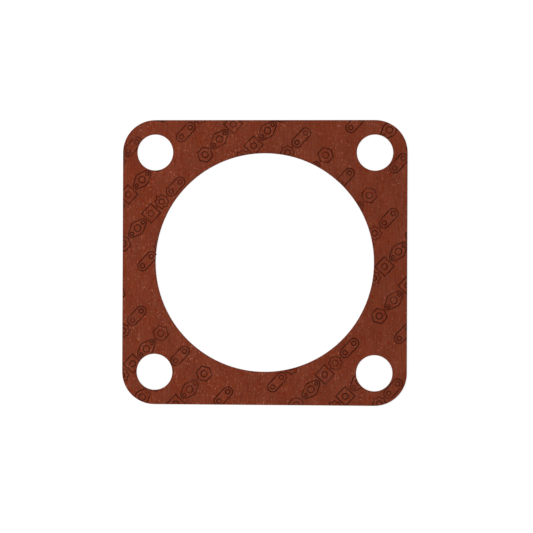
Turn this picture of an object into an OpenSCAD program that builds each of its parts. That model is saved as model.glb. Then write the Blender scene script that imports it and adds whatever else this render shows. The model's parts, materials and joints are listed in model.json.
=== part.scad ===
// Square flange gasket with a round bore and four bolt holes, cut from
// compressed fibre sheet. Millimetres. The sheet lies flat on Z = 0 and the
// bore runs along Z. Each outer corner is rounded about its bolt hole, so the
// outline follows from the bolt spacing and the corner radius.

/* [Sheet] */

// Thickness of the fibre sheet
sheet_t = 1.0; // [0.5:0.1:3]

// Radius of the four outer corners, centred on the bolt holes
corner_r = 10; // [8.5:0.5:14]

// Radius the knife rolls onto every upper cut edge
roll_r = 0.15; // [0.05:0.05:0.2]

/* [Bolt holes] */

// Bolt spacing from left to right
bolt_x = 68; // [60:0.5:80]

// Bolt spacing from front to back
bolt_y = 68; // [60:0.5:80]

// Shank diameter of the bolts
bolt_size = 10; // [6:1:11]

// Clearance of a bolt hole over the shank, on the diameter
bolt_clear = 1.2; // [0.4:0.1:2]

/* [Bore] */

// Diameter of the bore
bore_d = 67.6; // [45:0.1:70]

// Direction of the knife's start mark on the bore wall, counted from +X
mark_turn = 176; // [0:1:359]

// Height the start mark stands in from the bore wall
mark_h = 0.2; // [0.1:0.05:0.3]

// Width of the start mark where it leaves the bore wall
mark_w = 0.6; // [0.4:0.1:1.2]

/* [Hidden] */

$fn = 96;

bore_r = bore_d / 2;
bolt_r = (bolt_size + bolt_clear) / 2;

// The band of sheet beside each hole that carries the rolled edge
rim_w = 2 * roll_r;

// How far a cutting tool runs past the sheet's faces
cut_past = 1;

// The start mark is a round ridge: its radius from its height and width
mark_r = (pow(mark_w / 2, 2) + pow(mark_h, 2)) / (2 * mark_h);

sheet_colour = [0.46, 0.21, 0.14];

// The outer corners in turn: side in X, side in Y, angle of the quarter
corners = [
    [1, 1, 0],
    [-1, 1, 90],
    [-1, -1, 180],
    [1, -1, 270]
];

// A cut edge in section, from the inside out, rolled over at the top
module edge_section(reach) {
    square([reach - roll_r, sheet_t]);
    square([reach, sheet_t - roll_r]);
    translate([reach - roll_r, sheet_t - roll_r])
        circle(r = roll_r);
}

// One straight side of the sheet, facing +X
module side(out, run) {
    translate([out / 2, run / 2, 0])
        rotate([90, 0, 0])
            linear_extrude(height = run)
                edge_section(corner_r);
}

// The sheet's outline with its rounded corners, before any hole
module blank() {
    translate([-bolt_x / 2, -bolt_y / 2, 0])
        cube([bolt_x, bolt_y, sheet_t]);

    for (turn = [0, 180]) {
        rotate([0, 0, turn])
            side(bolt_x, bolt_y);
        rotate([0, 0, turn + 90])
            side(bolt_y, bolt_x);
    }

    for (c = corners)
        translate([c[0] * bolt_x / 2, c[1] * bolt_y / 2, 0])
            rotate([0, 0, c[2]])
                rotate_extrude(angle = 90)
                    edge_section(corner_r);
}

// Clears the sheet out to the far side of a hole's rim
module rim_seat(hole_r) {
    translate([0, 0, -cut_past])
        cylinder(r = hole_r + rim_w, h = sheet_t + 2 * cut_past);
}

// The rim of a hole with its rolled upper edge
module rim(hole_r) {
    rotate_extrude()
        translate([hole_r + rim_w, 0])
            mirror([1, 0])
                edge_section(rim_w);
}

// Ridge left on the bore wall where the knife began and ended its cut
module start_mark() {
    rotate([0, 0, mark_turn])
        translate([bore_r + mark_r - mark_h, 0, 0])
            cylinder(r = mark_r, h = sheet_t);
}

module at_bolts() {
    for (c = corners)
        translate([c[0] * bolt_x / 2, c[1] * bolt_y / 2, 0])
            children();
}

module gasket() {
    color(sheet_colour)
        union() {
            difference() {
                blank();
                rim_seat(bore_r);
                at_bolts()
                    rim_seat(bolt_r);
            }
            rim(bore_r);
            at_bolts()
                rim(bolt_r);
            start_mark();
        }
}

gasket();
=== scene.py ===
"""Looks of a square flange gasket cut from compressed fibre sheet.

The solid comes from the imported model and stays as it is. This script gives
the sheet its fibre grain, its cut edges and the rows of marks printed on its
upper face, and sets the floor, the light and the camera.

The scene is in metres. The sheet's material is worked out in millimetres,
and the names of single sizes in millimetres end in _MM.
"""
import bpy
import json
import math
from collections import namedtuple
from mathutils import Euler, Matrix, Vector


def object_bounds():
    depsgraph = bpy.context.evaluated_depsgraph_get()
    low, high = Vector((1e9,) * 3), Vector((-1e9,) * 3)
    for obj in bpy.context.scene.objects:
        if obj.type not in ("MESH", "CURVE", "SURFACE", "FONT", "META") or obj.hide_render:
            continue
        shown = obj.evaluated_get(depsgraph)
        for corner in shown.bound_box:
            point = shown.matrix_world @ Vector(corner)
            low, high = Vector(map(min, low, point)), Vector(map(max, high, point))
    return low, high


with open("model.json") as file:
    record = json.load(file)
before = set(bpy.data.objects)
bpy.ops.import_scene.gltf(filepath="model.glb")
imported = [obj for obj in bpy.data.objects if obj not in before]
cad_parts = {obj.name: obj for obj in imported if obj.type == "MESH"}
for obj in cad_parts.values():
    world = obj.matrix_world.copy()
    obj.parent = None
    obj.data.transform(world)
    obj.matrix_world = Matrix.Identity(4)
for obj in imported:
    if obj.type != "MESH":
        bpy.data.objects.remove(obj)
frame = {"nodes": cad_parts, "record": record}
CAD_LOW, CAD_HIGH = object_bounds()
MM_PER_M = 1000

# The sheet's sizes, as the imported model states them

SIZES = {mount["name"]: mount["dims"] for mount in frame["record"]["mounts"]}
SHEET_T_MM = (CAD_HIGH.z - CAD_LOW.z) * MM_PER_M
BORE_R_MM = SIZES["bore"]["r_mm"]
BOLT_R_MM = SIZES["bolt_holes"]["hole_r_mm"]
BOLT_X_MM = SIZES["bolt_holes"]["spacing_x_mm"] / 2
BOLT_Y_MM = SIZES["bolt_holes"]["spacing_y_mm"] / 2
CORNER_R_MM = CAD_HIGH.x * MM_PER_M - BOLT_X_MM

# Colours, as the screen shows them, from 0 to 255

SHEET_DARK = (104, 37, 17)
SHEET_MEAN = (115, 50, 30)
SHEET_LIGHT = (131, 64, 44)
ORANGE = (132, 49, 22)
OLIVE = (106, 58, 46)
OCHRE = (115, 60, 29)
PLUM = (117, 45, 40)
RUST = (115, 38, 14)
FLECK = (168, 98, 76)
FIBRE = (174, 104, 81)
SPECK = (184, 172, 150)
CUT = (96, 37, 23)
TORN = (134, 72, 54)
INK = (61, 21, 10)
FLOOR_SHADE = (240, 240, 240)

# Patterns over the sheet. Each has the width and the length in millimetres of
# its spots, or of the cell that a fibre lies in, with the length along Y. The
# shift sets it apart from the others, and the detail is the number of finer
# noises on top of it.

Pattern = namedtuple("Pattern", "wide long shift detail", defaults=[0.0])

GRAIN = Pattern(0.28, 0.30, shift=0.0, detail=3.0)
STREAKS = Pattern(0.52, 5.0, shift=17.0, detail=1.0)
CLOUDS = Pattern(3.4, 9.0, shift=5.0, detail=2.0)
HUE = Pattern(0.8, 1.5, shift=9.0, detail=2.0)
WIDE_HUE = Pattern(5.0, 11.0, shift=61.0, detail=1.0)
TINT = Pattern(0.45, 0.6, shift=71.0, detail=1.0)
WIDE_TINT = Pattern(2.2, 3.4, shift=89.0, detail=1.0)
RUST_SPOTS = Pattern(1.0, 1.4, shift=31.0)
FLECKS = Pattern(0.42, 0.76, shift=23.0, detail=1.0)
CROWDS = Pattern(2.6, 6.0, shift=101.0)
THREADS = Pattern(0.07, 0.9, shift=67.0, detail=1.0)
SPECKS = Pattern(0.36, 0.38, shift=83.0)
FIBRE_CELLS = Pattern(0.6, 1.3, shift=3.0)
WIDE_FIBRE_CELLS = Pattern(0.9, 1.1, shift=29.0)
PRESS = Pattern(2.4, 2.4, shift=47.0)
LINE_WANDER = Pattern(0.4, 0.4, shift=41.0, detail=2.0)

# The dye: how much each pattern counts in its tone, and in its hue, which
# turns it to ORANGE or OLIVE, and its tint, which turns it to OCHRE or PLUM.
# To the right the hue falls by 1 over HUE_FADE_MM.

GRAIN_TONE = 0.94
STREAK_TONE = 0.92
CLOUD_TONE = 0.98
MIDDLE_TONE = 0.473
HUE_SHARE = 1.1
WIDE_HUE_SHARE = 0.7
HUE_FADE_MM = 1600
HUE_GAIN = 1.2
WIDE_TINT_SHARE = 0.3
TINT_GAIN = 1.4

# What lies in the dye. An edge is where on its pattern a spot begins and where
# it is full, and the cover is how much of the dye it hides there. The flecks'
# pattern falls by 1 over FLECK_FADE_MM to the right, and by LEFT_FADE of that
# to the left.

RUST_EDGE = (0.15, 0.30)
RUST_COVER = 0.85
SPECK_EDGE = (0.33, 0.43)
FLECK_EDGE = (0.115, 0.305)
FLECK_COVER = 0.78
CROWD_SHARE = 0.13
THREAD_SHARE = 0.14
FLECK_LIFT = 0.022
FLECK_FADE_MM = 800
LEFT_FADE = 0.45

# Single fibres. Their lean is how far they may run sideways for each
# millimetre along Y. The shortest has FIBRE_SHORTEST of FIBRE_LONG_MM, and the
# longest one FIBRE_LONG_MM more. The edge has the distances from a fibre's
# middle line where it begins and where it is full, in shares of its width.

FIBRE_WIDE_MM = 0.075
FIBRE_LONG_MM = 1.0
FIBRE_LEAN = 0.35
FIBRE_SHORTEST = 0.3
FIBRE_EDGE = (0.8, 0.1)
FIBRE_BEND_MM = 0.14
BEND_SPOT_MM = 0.5
FIBRE_COVER = 0.35

# The cut edges: how far in from the cut the wall's look and the painted shade
# along the rim of the faces begin and are full, and how high up the wall, of
# its whole height, the torn band ends and is full

WALL_EDGE_MM = (0.12, 0.01)
PAINTED_SHADE_EDGE_MM = (0.34, 0.02)
PAINTED_SHADE_COVER = 0.3
TORN_EDGE = (0.62, 0.42)
TORN_GRAIN = 0.6
TORN_MOTTLE = 0.5

# The surface: its shine, its roughness and its relief, and what changes them

SHINE = 0.04
ROUGHNESS = 0.78
GRAIN_ROUGHNESS = 0.25
INK_SMOOTHING = 0.12
RELIEF = 0.5
RELIEF_MM = 0.04
STREAK_HEIGHT = 0.8
FIBRE_HEIGHT = 0.3
TORN_HEIGHT = 2.0

# The print: rows of outlined marks that rise to the right across the sheet.
# The ink ends between two depths below the upper face, and covers less where
# the grain is pale and on the fibres.

ROW_ANGLE = math.radians(47.4)
ROW_PITCH_MM = 9.16
ROW_START_MM = 5.09
GROUP_PITCH_MM = 37.5
GROUP_START_MM = -5.8
MARK_GAP_MM = 0.65
MARK_HALF_MM = 2.1
LINE_MM = 0.40
LINE_EDGE_MM = 0.08
LINE_WANDER_MM = 0.045
INK_DEPTH_MM = (0.14, 0.10)
INK_COVER = 0.90
GRAIN_WEAR = 0.6
FIBRE_WEAR = 0.4

# The marks' proportions, in half heights of a mark. An end's hole is a share
# of that end's radius.

HEXAGON_TURN = math.radians(30)
NUT_HOLE = 0.45
FLANGE_RUN = 1.15
FLANGE_END = 0.52
FLANGE_BORE = 0.48
LINK_RUN = 0.95
LINK_END = 0.72
END_HOLE = 0.45
SQUARE_HOLE = 0.42
TEETH = 8
TOOTH_MIDDLE = 0.92
TOOTH_WAVE = 0.1
TOOTH_HOLE = 0.4

# The photograph's view: what its middle pixel shows, how the camera is turned
# about X, Y and Z in degrees, how wide the picture is at the sheet, and how
# far off the camera stands

VIEW_AT_MM = (0.68, -1.23)
VIEW_TURN = (0.17, 2.56, 0.23)
VIEW_WIDTH_MM = 164.54
VIEW_FROM_MM = 450
SENSOR_MM = 36
CLIP_START = 0.01

# The light and the floor, in metres and watts. The floor shows mostly a glow
# of its own, and its share of matt white takes the sheet's shadow.

LAMP_AT = Vector((-0.19, 0.006, 0.27))
LAMP_SIZE = 0.18
LAMP_POWER = 0.325
WORLD_LIGHT = 0.75
WHITE = (1.0, 1.0, 1.0, 1.0)
FLOOR_WHITE = 0.85
FLOOR_SHARE = 0.25
FLOOR_SIZE = 4.0
FLOOR_DROP_MM = 0.02


def linear(colour):
    """A screen colour as the linear one that nodes take, by the sRGB curve."""
    shares = [value / 255 for value in colour]
    return [s / 12.92 if s <= 0.04045 else ((s + 0.055) / 1.055) ** 2.4 for s in shares] + [1.0]


class Field:
    """A number that varies over the surface. Its sums and products are made of Math nodes."""

    def __init__(self, tree, socket):
        self.tree = tree
        self.socket = socket

    def maths(self, operation, *others):
        """The result of a Math node on this field and others, which are fields or plain numbers."""
        node = self.tree.nodes.new("ShaderNodeMath")
        node.operation = operation
        for place, value in enumerate((self, *others)):
            if isinstance(value, Field):
                self.tree.links.new(value.socket, node.inputs[place])
            else:
                node.inputs[place].default_value = value
        return Field(self.tree, node.outputs[0])

    def __add__(self, other):
        return self.maths("ADD", other)

    def __sub__(self, other):
        return self.maths("SUBTRACT", other)

    def __mul__(self, other):
        return self.maths("MULTIPLY", other)

    def __truediv__(self, other):
        return self.maths("DIVIDE", other)

    def __abs__(self):
        return self.maths("ABSOLUTE")

    def at_least(self, other):
        return self.maths("MAXIMUM", other)

    def at_most(self, other):
        return self.maths("MINIMUM", other)

    def floor(self):
        return self.maths("FLOOR")

    def wrapped(self, pitch):
        """What is left past the last whole pitch, counted from the middle of the pitch."""
        return self - (self / pitch).floor() * pitch - pitch / 2

    def step(self, start, end):
        """Rises smoothly from 0 at start to 1 at end, or falls where end is the lower."""
        node = self.tree.nodes.new("ShaderNodeMapRange")
        node.interpolation_type = "SMOOTHSTEP"
        node.clamp = True
        node.inputs["From Min"].default_value = min(start, end)
        node.inputs["From Max"].default_value = max(start, end)
        node.inputs["To Min"].default_value = 0.0 if start < end else 1.0
        node.inputs["To Max"].default_value = 1.0 if start < end else 0.0
        self.tree.links.new(self.socket, node.inputs["Value"])
        return Field(self.tree, node.outputs["Result"])


def least(fields):
    """The smallest of several fields."""
    smallest = fields[0]
    for field in fields[1:]:
        smallest = smallest.at_most(field)
    return smallest


def reach(x, y):
    """How far the point (x, y) is from (0, 0)."""
    return (x * x + y * y).maths("SQRT")


class Paint:
    """One material's node tree, with the sheet's millimetres as x, y and z."""

    # A Mix node's sockets for colours, which share their names with others
    MIX_FIRST = 6
    MIX_SECOND = 7
    MIX_RESULT = 2

    def __init__(self, name):
        self.material = bpy.data.materials.new(name)
        self.material.use_nodes = True
        self.tree = self.material.node_tree
        self.tree.nodes.clear()
        output = self.tree.nodes.new("ShaderNodeOutputMaterial")
        self.shader = self.tree.nodes.new("ShaderNodeBsdfPrincipled")
        self.link(self.shader.outputs["BSDF"], output.inputs["Surface"])
        place = self.tree.nodes.new("ShaderNodeTexCoord").outputs["Object"]
        self.x, self.y, self.z = [part * MM_PER_M for part in self.parts(place)]

    def link(self, start, end):
        self.tree.links.new(start, end)

    def parts(self, vector):
        """The three numbers that make up a vector or a colour."""
        node = self.tree.nodes.new("ShaderNodeSeparateXYZ")
        self.link(vector, node.inputs[0])
        return [Field(self.tree, socket) for socket in node.outputs]

    def stretched(self, pattern):
        """The point in widths and lengths of the pattern, moved by its shift."""
        fields = (self.x / pattern.wide + pattern.shift, self.y / pattern.long, self.z / pattern.wide)
        node = self.tree.nodes.new("ShaderNodeCombineXYZ")
        for field, socket in zip(fields, node.inputs):
            self.link(field.socket, socket)
        return node.outputs[0]

    def noise(self, pattern):
        """The pattern as noise about 0."""
        node = self.tree.nodes.new("ShaderNodeTexNoise")
        node.inputs["Scale"].default_value = 1.0
        node.inputs["Detail"].default_value = pattern.detail
        self.link(self.stretched(pattern), node.inputs["Vector"])
        return Field(self.tree, node.outputs["Fac"]) - 0.5

    def fibres(self, pattern):
        """Bent fibres lying about along Y, one in each cell: up to 1 on a fibre and 0 between them."""
        place = self.stretched(pattern)
        node = self.tree.nodes.new("ShaderNodeTexVoronoi")
        node.voronoi_dimensions = "2D"
        node.inputs["Scale"].default_value = 1.0
        self.link(place, node.inputs["Vector"])
        away = self.tree.nodes.new("ShaderNodeVectorMath")
        away.operation = "SUBTRACT"
        self.link(place, away.inputs[0])
        self.link(node.outputs["Position"], away.inputs[1])
        dx, dy, _ = self.parts(away.outputs[0])
        chance, spread, strength = self.parts(node.outputs["Color"])
        dx, dy = dx * pattern.wide, dy * pattern.long
        bend = self.noise(Pattern(BEND_SPOT_MM, BEND_SPOT_MM, pattern.shift)) * FIBRE_BEND_MM
        across = dx - dy * (chance - 0.5) * (2 * FIBRE_LEAN) + bend
        past_end = abs(dy) - (spread + FIBRE_SHORTEST) * (FIBRE_LONG_MM / 2)
        start, full = [FIBRE_WIDE_MM * share for share in FIBRE_EDGE]
        return reach(across, past_end.at_least(0)).step(start, full) * strength * strength

    def mix(self, share, first, second):
        """The first colour, turned into the second by share."""
        node = self.tree.nodes.new("ShaderNodeMix")
        node.data_type = "RGBA"
        self.link(share.socket, node.inputs["Factor"])
        for value, place in ((first, self.MIX_FIRST), (second, self.MIX_SECOND)):
            if isinstance(value, tuple):
                node.inputs[place].default_value = linear(value)
            else:
                self.link(value, node.inputs[place])
        return node.outputs[self.MIX_RESULT]

    def ramp(self, share, stops):
        """The colours of stops, a list of (place, colour), along share."""
        node = self.tree.nodes.new("ShaderNodeValToRGB")
        marks = node.color_ramp.elements
        while len(marks) < len(stops):
            marks.new(0.5)
        for mark, (place, colour) in zip(marks, stops):
            mark.position = place
            mark.color = linear(colour)
        self.link(share.socket, node.inputs["Fac"])
        return node.outputs["Color"]


def cut_distance(paint):
    """How far a point of the sheet lies inside the nearest cut edge."""
    side = abs(paint.x)
    end = abs(paint.y)
    past_x = (side - BOLT_X_MM).at_least(0)
    past_y = (end - BOLT_Y_MM).at_least(0)
    outline = reach(past_x, past_y) * -1 + CORNER_R_MM
    bolt = reach(side - BOLT_X_MM, end - BOLT_Y_MM) - BOLT_R_MM
    bore = reach(paint.x, paint.y) - BORE_R_MM
    return least([outline, bolt, bore])


# Each mark gives the distances outside its outline and outside its holes


def nut(x, y):
    """A hexagon nut seen from above."""
    flats = abs(x) * math.cos(HEXAGON_TURN) + abs(y) * math.sin(HEXAGON_TURN)
    return [flats.at_least(abs(y)) - MARK_HALF_MM, reach(x, y) - MARK_HALF_MM * NUT_HOLE]


def oval_flange(x, y):
    """A two-bolt flange that narrows from its middle to its ends, with its three holes."""
    run, end_r = MARK_HALF_MM * FLANGE_RUN, MARK_HALF_MM * FLANGE_END
    taper = (MARK_HALF_MM - end_r) / run
    lean = taper / math.sqrt(1 - taper ** 2)
    side, lift = abs(x), abs(y)
    centre = (side - lift * lean).at_least(0).at_most(run)
    outline = reach(side - centre, y) + centre * taper - MARK_HALF_MM
    bore = reach(x, y) - MARK_HALF_MM * FLANGE_BORE
    return [outline, bore, reach(side - run, y) - end_r * END_HOLE]


def square_washer(x, y):
    """A square washer with a round hole."""
    return [abs(x).at_least(abs(y)) - MARK_HALF_MM, reach(x, y) - MARK_HALF_MM * SQUARE_HOLE]


def tooth_washer(x, y):
    """A round washer with rounded teeth."""
    wave = (y.maths("ARCTAN2", x) * TEETH).maths("COSINE") * (MARK_HALF_MM * TOOTH_WAVE)
    outline = reach(x, y) - wave - MARK_HALF_MM * TOOTH_MIDDLE
    return [outline, reach(x, y) - MARK_HALF_MM * TOOTH_HOLE]


def link_plate(x, y):
    """A round-ended plate with two holes."""
    run, end_r = MARK_HALF_MM * LINK_RUN, MARK_HALF_MM * LINK_END
    past_run = abs(x) - run
    return [reach(past_run.at_least(0), y) - end_r, reach(past_run, y) - end_r * END_HOLE]


# Each mark with the width that it takes along its row, in half heights

MARKS = [
    (nut, 2 / math.cos(HEXAGON_TURN)),
    (oval_flange, 2 * (FLANGE_RUN + FLANGE_END)),
    (square_washer, 2),
    (tooth_washer, 2 * (TOOTH_MIDDLE + TOOTH_WAVE)),
    (link_plate, 2 * (LINK_RUN + LINK_END)),
]


def print_lines(paint):
    """1 on the printed lines and 0 off them. Every second row runs the other way."""
    turn, lift = math.cos(ROW_ANGLE), math.sin(ROW_ANGLE)
    along = paint.x * turn + paint.y * lift
    across = paint.y * turn - paint.x * lift + ROW_START_MM
    odd = (across / ROW_PITCH_MM).floor().maths("MODULO", 2.0).maths("ABSOLUTE")
    row_y = across.wrapped(ROW_PITCH_MM)
    row_x = (along + GROUP_START_MM).wrapped(GROUP_PITCH_MM) * (odd * -2 + 1)

    widths = [share * MARK_HALF_MM for _, share in MARKS]
    start = -(sum(widths) + MARK_GAP_MM * (len(MARKS) - 1)) / 2
    lines = []
    for (mark, _), width in zip(MARKS, widths):
        middle = start + width / 2
        lines += [abs(outline) for outline in mark(row_x - middle, row_y)]
        start += width + MARK_GAP_MM
    distance = least(lines) + paint.noise(LINE_WANDER) * LINE_WANDER_MM
    return distance.step((LINE_MM + LINE_EDGE_MM) / 2, (LINE_MM - LINE_EDGE_MM) / 2)


def fleck_field(paint):
    """Where the pale flecks lie: in crowds, and thinner to the sides, most of all to the right."""
    crowd = paint.noise(CROWDS) * CROWD_SHARE
    thread = paint.noise(THREADS) * THREAD_SHARE
    fade = paint.x.at_least(paint.x * -LEFT_FADE) / FLECK_FADE_MM
    return paint.noise(FLECKS) + crowd + thread - fade + FLECK_LIFT


def fibre_colour(paint, grain, streak, fibre):
    """The faces' colour: dye of varied tone and hue, rust spots, and pale flecks, fibres and specks."""
    hue = paint.noise(HUE) * HUE_SHARE + paint.noise(WIDE_HUE) * WIDE_HUE_SHARE
    hue = hue - paint.x / HUE_FADE_MM
    tint = paint.noise(TINT) + paint.noise(WIDE_TINT) * WIDE_TINT_SHARE
    tone = grain * GRAIN_TONE + streak * STREAK_TONE + paint.noise(CLOUDS) * CLOUD_TONE + MIDDLE_TONE
    rust = paint.noise(RUST_SPOTS).step(*RUST_EDGE)
    fleck = fleck_field(paint).step(*FLECK_EDGE)
    speck = paint.noise(SPECKS).step(*SPECK_EDGE)

    colour = paint.ramp(tone, [(0.0, SHEET_DARK), (0.5, SHEET_MEAN), (1.0, SHEET_LIGHT)])
    colour = paint.mix(hue.at_least(0.0) * HUE_GAIN, colour, ORANGE)
    colour = paint.mix((hue * -HUE_GAIN).at_least(0.0), colour, OLIVE)
    colour = paint.mix(tint.at_least(0.0) * TINT_GAIN, colour, OCHRE)
    colour = paint.mix((tint * -TINT_GAIN).at_least(0.0), colour, PLUM)
    colour = paint.mix(rust * RUST_COVER, colour, RUST)
    colour = paint.mix(fleck * FLECK_COVER, colour, FLECK)
    colour = paint.mix(fibre * FIBRE_COVER, colour, FIBRE)
    return paint.mix(speck, colour, SPECK)


def fibre_sheet():
    """Red-brown compressed fibre: grain along Y, paler fibres, cut edges, and print on the upper face."""
    paint = Paint("fibre_sheet")
    grain = paint.noise(GRAIN)
    streak = paint.noise(STREAKS)
    fibre = paint.fibres(FIBRE_CELLS).at_least(paint.fibres(WIDE_FIBRE_CELLS))
    colour = fibre_colour(paint, grain, streak, fibre)

    inside = cut_distance(paint)
    wall = inside.step(*WALL_EDGE_MM)
    torn = (paint.z / SHEET_T_MM + grain * TORN_GRAIN).step(*TORN_EDGE)
    cut = paint.ramp(torn + grain * TORN_MOTTLE, [(0.0, CUT), (1.0, TORN)])
    # Painted shade: the faces darken towards every cut edge, over a band about a third of a millimetre
    # wide
    colour = paint.mix(inside.step(*PAINTED_SHADE_EDGE_MM) * PAINTED_SHADE_COVER, colour, CUT)
    colour = paint.mix(wall, colour, cut)

    ink_start, ink_full = [SHEET_T_MM - depth for depth in INK_DEPTH_MM]
    ink = print_lines(paint) * paint.z.step(ink_start, ink_full)
    cover = grain * -GRAIN_WEAR + paint.noise(PRESS) + INK_COVER - fibre * FIBRE_WEAR
    colour = paint.mix(ink * cover.at_most(1.0), colour, INK)
    paint.link(colour, paint.shader.inputs["Base Color"])

    paint.shader.inputs["Specular IOR Level"].default_value = SHINE
    rough = grain * GRAIN_ROUGHNESS + ROUGHNESS - ink * INK_SMOOTHING
    paint.link(rough.socket, paint.shader.inputs["Roughness"])

    relief = paint.tree.nodes.new("ShaderNodeBump")
    relief.inputs["Strength"].default_value = RELIEF
    relief.inputs["Distance"].default_value = RELIEF_MM / MM_PER_M
    height = grain + streak * STREAK_HEIGHT + fibre * FIBRE_HEIGHT + torn * wall * grain * TORN_HEIGHT
    paint.link(height.socket, relief.inputs["Height"])
    paint.link(relief.outputs["Normal"], paint.shader.inputs["Normal"])
    return paint.material


def dress_gasket():
    """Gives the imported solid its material."""
    gasket = frame["nodes"]["gasket"]
    gasket.data.materials.clear()
    gasket.data.materials.append(fibre_sheet())


def seen(tree):
    """1 where the eye, a mirror or clear glass looks at a surface, and 0 where it only lights others."""
    path = tree.nodes.new("ShaderNodeLightPath")
    looks = ("Is Camera Ray", "Is Glossy Ray", "Is Transmission Ray")
    by_eye, by_mirror, by_glass = [Field(tree, path.outputs[name]) for name in looks]
    return (by_eye + by_mirror + by_glass).at_most(1.0)


def white_floor():
    """Shows white, keeps a share of the shadow that falls on it, and isn't there from below."""
    material = bpy.data.materials.new("floor_white")
    material.use_nodes = True
    tree = material.node_tree
    tree.nodes.clear()
    output = tree.nodes.new("ShaderNodeOutputMaterial")
    matt = tree.nodes.new("ShaderNodeBsdfDiffuse")
    matt.inputs["Color"].default_value = linear(FLOOR_SHADE)
    glow = tree.nodes.new("ShaderNodeEmission")
    glow.inputs["Color"].default_value = WHITE
    glow.inputs["Strength"].default_value = FLOOR_WHITE / (1 - FLOOR_SHARE)
    shown = tree.nodes.new("ShaderNodeMixShader")
    tree.links.new((seen(tree) * (1 - FLOOR_SHARE)).socket, shown.inputs["Fac"])
    tree.links.new(matt.outputs[0], shown.inputs[1])
    tree.links.new(glow.outputs[0], shown.inputs[2])
    side = tree.nodes.new("ShaderNodeNewGeometry")
    clear = tree.nodes.new("ShaderNodeBsdfTransparent")
    under = tree.nodes.new("ShaderNodeMixShader")
    tree.links.new(side.outputs["Backfacing"], under.inputs["Fac"])
    tree.links.new(shown.outputs[0], under.inputs[1])
    tree.links.new(clear.outputs[0], under.inputs[2])
    tree.links.new(under.outputs[0], output.inputs["Surface"])
    return material


def lay_floor():
    """A plain white floor that the sheet lies on. It throws no light or shadow on the sheet."""
    height = CAD_LOW.z - FLOOR_DROP_MM / MM_PER_M
    bpy.ops.mesh.primitive_plane_add(size=FLOOR_SIZE, location=(0, 0, height))
    floor = bpy.context.object
    floor.name = "floor"
    floor.data.materials.append(white_floor())
    floor.visible_diffuse = False
    floor.visible_shadow = False


def light_scene():
    """White light from all round, which lights less than it shows, and one soft lamp on the left."""
    world = bpy.data.worlds.new("white_room")
    bpy.context.scene.world = world
    world.use_nodes = True
    tree = world.node_tree
    room = tree.nodes["Background"]
    room.inputs["Color"].default_value = WHITE
    strength = seen(tree) * (1.0 - WORLD_LIGHT) + WORLD_LIGHT
    tree.links.new(strength.socket, room.inputs["Strength"])

    data = bpy.data.lights.new("soft_lamp", "AREA")
    data.shape = "DISK"
    data.size = LAMP_SIZE
    data.energy = LAMP_POWER
    lamp = bpy.data.objects.new("soft_lamp", data)
    lamp.location = LAMP_AT
    lamp.rotation_euler = (-LAMP_AT).to_track_quat("-Z", "Y").to_euler()
    bpy.context.scene.collection.objects.link(lamp)


def place_camera():
    """The photograph's view: from nearly straight above, a little turned and tilted."""
    data = bpy.data.cameras.new("camera")
    data.sensor_width = SENSOR_MM
    data.lens = SENSOR_MM * VIEW_FROM_MM / VIEW_WIDTH_MM
    data.clip_start = CLIP_START
    camera = bpy.data.objects.new("camera", data)
    turn = Euler([math.radians(angle) for angle in VIEW_TURN], "XYZ")
    target = Vector((VIEW_AT_MM[0] / MM_PER_M, VIEW_AT_MM[1] / MM_PER_M, CAD_HIGH.z))
    camera.location = target + turn.to_matrix() @ Vector((0, 0, VIEW_FROM_MM / MM_PER_M))
    camera.rotation_euler = turn
    bpy.context.scene.collection.objects.link(camera)
    bpy.context.scene.camera = camera


dress_gasket()
lay_floor()
light_scene()
place_camera()
bpy.context.scene.view_settings.view_transform = "Standard"
